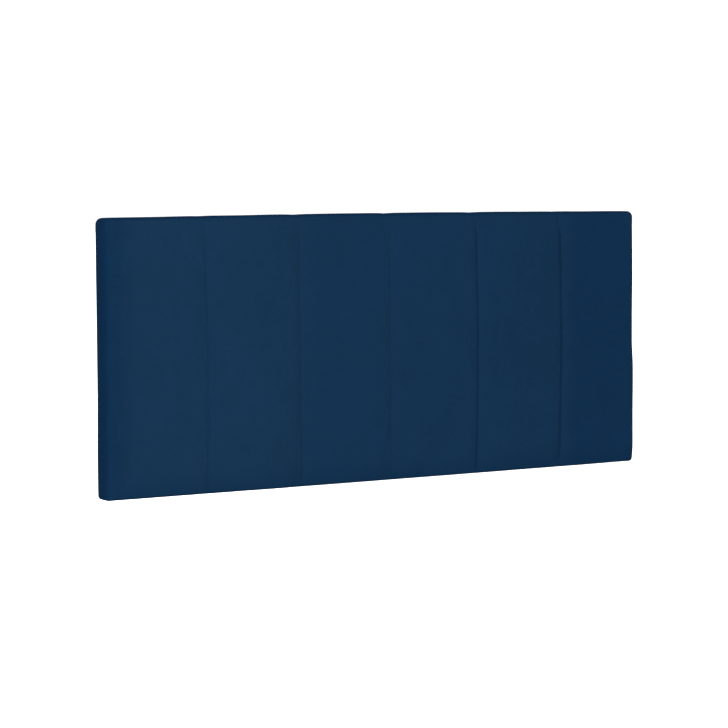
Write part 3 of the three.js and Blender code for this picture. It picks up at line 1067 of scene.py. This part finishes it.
def make_screw(node, direction, pitch):
    """A countersunk cross-head wood screw in place of the CAD one, with its helical thread."""
    low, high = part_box(node)
    head_y = low.y if direction > 0 else high.y
    place = Vector(((low.x + high.x) / 2, head_y, (low.z + high.z) / 2))
    length, head = high.y - low.y, (high.x - low.x) / 2
    shank = head * 0.49
    root = shank * 0.68
    cone = head * 0.6
    rim = SCREW_RIM
    neck = shank * 0.86
    thread_start, tip_start = length * 0.32, length - 3 * shank
    face = (0.02, 0.08, 0.15, 0.22, 0.29, 0.36, 0.43, 0.5, 0.58, 0.7, 0.84, 0.97)
    rings = [(0, head * share) for share in face]
    rings += [(0.12 * MM, head), (rim, head)]
    rings += [(rim + (cone - rim) * t, head + (neck - head) * t) for t in (0.33, 0.66, 1)]
    rings += [(thread_start * 0.7, neck), (thread_start, shank * 0.84)]
    steps = round((length - thread_start) / (pitch / 7))
    rings += [(thread_start + (length - thread_start) * k / steps, root) for k in range(1, steps + 1)]

    def shape(s, r, angle):
        if s == 0:
            across, along = sorted((abs(r * math.cos(angle)), abs(r * math.sin(angle))))
            arm = fade(0.20 * head, 0.11 * head, across) * fade(0.56 * head, 0.46 * head, along)
            return arm * 0.42 * head * (1 - 0.5 * along / head), r
        if s < thread_start + 1e-6:
            return s, r
        taper = 1 - 0.97 * max(0.0, (s - tip_start) / (length - tip_start)) ** 1.4
        phase = (s / pitch - angle / (2 * math.pi)) % 1
        ridge = max(0.0, 1 - abs(phase - 0.5) / 0.24)
        grow = fade(thread_start, thread_start + pitch, s)
        return s, (root + (shank - root) * ridge * grow) * taper

    screw = turned(node + "_detail", place, direction, rings, SCREW_SIDES, ZINC, shape)
    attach(screw, WALL if node.startswith("wall") else PANEL)
    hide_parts(node)


def make_plug(node):
    """A nylon frame plug: a countersunk collar, and a sleeve slotted and toothed where it spreads."""
    low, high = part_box(node)
    place = Vector(((low.x + high.x) / 2, low.y, (low.z + high.z) / 2))
    length, collar = high.y - low.y, (high.x - low.x) / 2
    sleeve, bore = PLUG_SLEEVE, PLUG_BORE
    teeth_from, teeth_to = length * 0.42, length - 8 * MM
    mouth = [(0.9 * MM, PLUG_MOUTH - 0.15 * MM), (0, PLUG_MOUTH)]
    mouth += [(0, collar - 0.2 * MM), (0.15 * MM, collar)]
    outer = [(1.3 * MM, collar - 1.3 * MM), (2.6 * MM, sleeve), (teeth_from, sleeve)]
    count = round((teeth_to - teeth_from) / (PLUG_TOOTH / 6))
    outer += [(teeth_from + (teeth_to - teeth_from) * k / count, sleeve) for k in range(1, count + 1)]
    outer += [(length - 3 * MM, sleeve * 0.86), (length - 0.3 * MM, sleeve * 0.8), (length, sleeve * 0.75)]
    inner = [(length, bore + 0.2 * MM), (length - 0.4 * MM, bore)]
    inner += [(length * share, bore) for share in (0.8, 0.6, 0.4, 0.2)] + [(3.5 * MM, bore)]
    rings = mouth + outer + inner

    def shape(s, r, angle):
        if (s, r) not in outer:
            return s, r
        slot = fade(0.24, 0.14, abs((angle / (math.pi / 2)) % 1 - 0.5))
        slotted = fade(teeth_from - 1 * MM, teeth_from + 1 * MM, s)
        slotted *= fade(length - 1 * MM, length - 3 * MM, s)
        bite = ((s - teeth_from) / PLUG_TOOTH) % 1 if teeth_from < s < teeth_to else 0
        ribs = PLUG_RIB * fade(0.12, 0.06, abs((angle / math.pi + 0.25) % 1 - 0.5))
        ribs *= fade(3 * MM, 5 * MM, s)
        cut = PLUG_SLOT_DEPTH * slot * slotted + PLUG_TOOTH_DEPTH * bite * (1 - slot)
        r -= cut + (PLUG_RIB - ribs) * fade(3 * MM, 4 * MM, s)
        return s, max(r, bore + 0.3 * MM)

    plug = turned(node + "_detail", place, 1, rings, PLUG_SIDES, NYLON, shape, hollow=True)
    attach(plug, WALL)
    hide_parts(node)


def make_felt_pad(node):
    """A felt pad with a soft rim and an uneven face."""
    low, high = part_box(node)
    place = Vector(((low.x + high.x) / 2, high.y, (low.z + high.z) / 2))
    thick, radius = high.y - low.y, (high.x - low.x) / 2
    faces_at = [0.03, 0.2, 0.4, 0.6, 0.8, 0.93, 0.98]
    rings = [(0, radius * share) for share in faces_at]
    rings += [(thick * 0.12, radius * 0.995), (thick * 0.35, radius), (thick * 0.65, radius)]
    rings += [(thick * 0.88, radius * 0.995)] + [(thick, radius * share) for share in reversed(faces_at)]

    def shape(s, r, angle):
        spot = Vector((r * math.cos(angle), r * math.sin(angle), s)) / (4 * MM)
        rough = 0.5 + 0.5 * noise.noise(spot)
        dent = PAD_DENT * rough
        return s + dent if s < thick / 2 else s - dent * 0.5, r * (1 - 0.012 * rough)

    pad = turned(node + "_detail", place, -1, rings, PAD_SIDES, FELT, shape)
    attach(pad, PANEL)
    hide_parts(node)


for i in range(1, 6):
    make_screw(f"batten_screw_{i}", -1, BATTEN_SCREW_PITCH)
for side in ("left", "right"):
    make_screw(f"spacer_screw_{side}", -1, BATTEN_SCREW_PITCH)
    make_felt_pad(f"felt_pad_{side}")
for i in range(1, 5):
    make_screw(f"wall_screw_{i}", 1, WALL_SCREW_PITCH)
    make_plug(f"wall_plug_{i}")


# ---------------------------------------------------------------- timber, from the CAD


def finish_node(name, material, bevel):
    """Keeps a CAD node's shape, with its sharp arrises eased and its own material."""
    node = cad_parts[name]
    weld = node.modifiers.new("weld", "WELD")
    weld.merge_threshold = 0.01 * MM
    ease = node.modifiers.new("eased_arrises", "BEVEL")
    ease.width = bevel
    ease.segments = 2
    ease.limit_method = "ANGLE"
    ease.angle_limit = math.radians(40)
    for slot in node.material_slots:
        slot.material = material


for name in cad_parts:
    if name in ("frame_top_rail", "frame_bottom_rail"):
        finish_node(name, PINE_X, 1.0 * MM)
    elif name.startswith(("frame_", "corner_block_")):
        finish_node(name, PINE_Z, 1.0 * MM)
    elif name in ("panel_batten", "wall_batten", "spacer_left", "spacer_right"):
        finish_node(name, PLYWOOD, 0.7 * MM)
    elif name == "face_board":
        finish_node(name, HARDBOARD, 0.3 * MM)


# ---------------------------------------------------------------- stage

CAMERA_PLACE = (-3.0729, -4.9281, 0.1650)
CAMERA_TURN = 31.780
CAMERA_PITCH = -3.991
CAMERA_ROLL = -0.346
CAMERA_LENS = 126.48
FLOOR_HALF = 60
FLOOR_Z = -1.1
FLOOR_LAMP = 4.2
BACKDROP = 1.15
FILL = 0.62


def make_camera():
    data = bpy.data.cameras.new("camera")
    data.lens = CAMERA_LENS
    data.sensor_width = 36
    data.clip_end = 200
    camera = add_object("camera", data)
    turn = (
        (math.radians(-CAMERA_TURN), "Z"),
        (math.radians(90 + CAMERA_PITCH), "X"),
        (math.radians(CAMERA_ROLL), "Z"),
    )
    matrix = Matrix.Identity(4)
    for angle, axis in turn:
        matrix = matrix @ Matrix.Rotation(angle, 4, axis)
    matrix.translation = CAMERA_PLACE
    camera.matrix_world = matrix
    bpy.context.scene.camera = camera


def make_floor():
    corners = [(x * FLOOR_HALF, y * FLOOR_HALF, FLOOR_Z) for x, y in ((-1, -1), (1, -1), (1, 1), (-1, 1))]
    m = Shader("pale_floor", roughness=0.9, specular=0.1)
    m.colour(m.tint((0.92, 0.92, 0.92), m.vary(m.noise(3, 3), 0.985, 1.0)))
    floor = link_mesh("floor", corners, [(0, 1, 2, 3)], m.material)
    floor.visible_diffuse = False
    floor.visible_glossy = False
    return floor


def area_light(name, place, target, size, watts):
    data = bpy.data.lights.new(name, "AREA")
    data.shape = "RECTANGLE"
    data.size, data.size_y = size
    data.energy = watts
    light = add_object(name, data)
    light.location = place
    light.rotation_euler = (Vector(target) - Vector(place)).to_track_quat("-Z", "Y").to_euler()


def floor_light(floor):
    """A shadowless lamp for the floor alone, which keeps it evenly pale."""
    data = bpy.data.lights.new("floor_lamp", "SUN")
    data.energy = FLOOR_LAMP
    data.use_shadow = False
    lamp = add_object("floor_lamp", data)
    only = bpy.data.collections.new("floor_only")
    only.objects.link(floor)
    lamp.light_linking.receiver_collection = only


def background(tree, strength):
    """A white background shader's output."""
    made = tree.nodes.new("ShaderNodeBackground")
    made.inputs["Color"].default_value = (1, 1, 1, 1)
    made.inputs["Strength"].default_value = strength
    return made.outputs[0]


def make_world():
    """A soft even fill, behind which the camera sees plain white."""
    world = bpy.data.worlds.new("studio")
    world.use_nodes = True
    bpy.context.scene.world = world
    tree = world.node_tree
    tree.nodes.clear()
    path = tree.nodes.new("ShaderNodeLightPath")
    mix = tree.nodes.new("ShaderNodeMixShader")
    output = tree.nodes.new("ShaderNodeOutputWorld")
    tree.links.new(path.outputs["Is Camera Ray"], mix.inputs[0])
    tree.links.new(background(tree, FILL), mix.inputs[1])
    tree.links.new(background(tree, BACKDROP), mix.inputs[2])
    tree.links.new(mix.outputs[0], output.inputs["Surface"])


make_camera()
floor_light(make_floor())
make_world()
area_light("key", (-2.4, -4.1, 0.2), (-0.25, -0.07, -0.2), (1.8, 1.8), 130)
area_light("rear_fill", (1.8, 4.0, 1.0), (0, 0, -0.2), (2.5, 2.5), 150)

bpy.context.scene.view_settings.view_transform = "Standard"
bpy.context.scene.view_settings.look = "None"
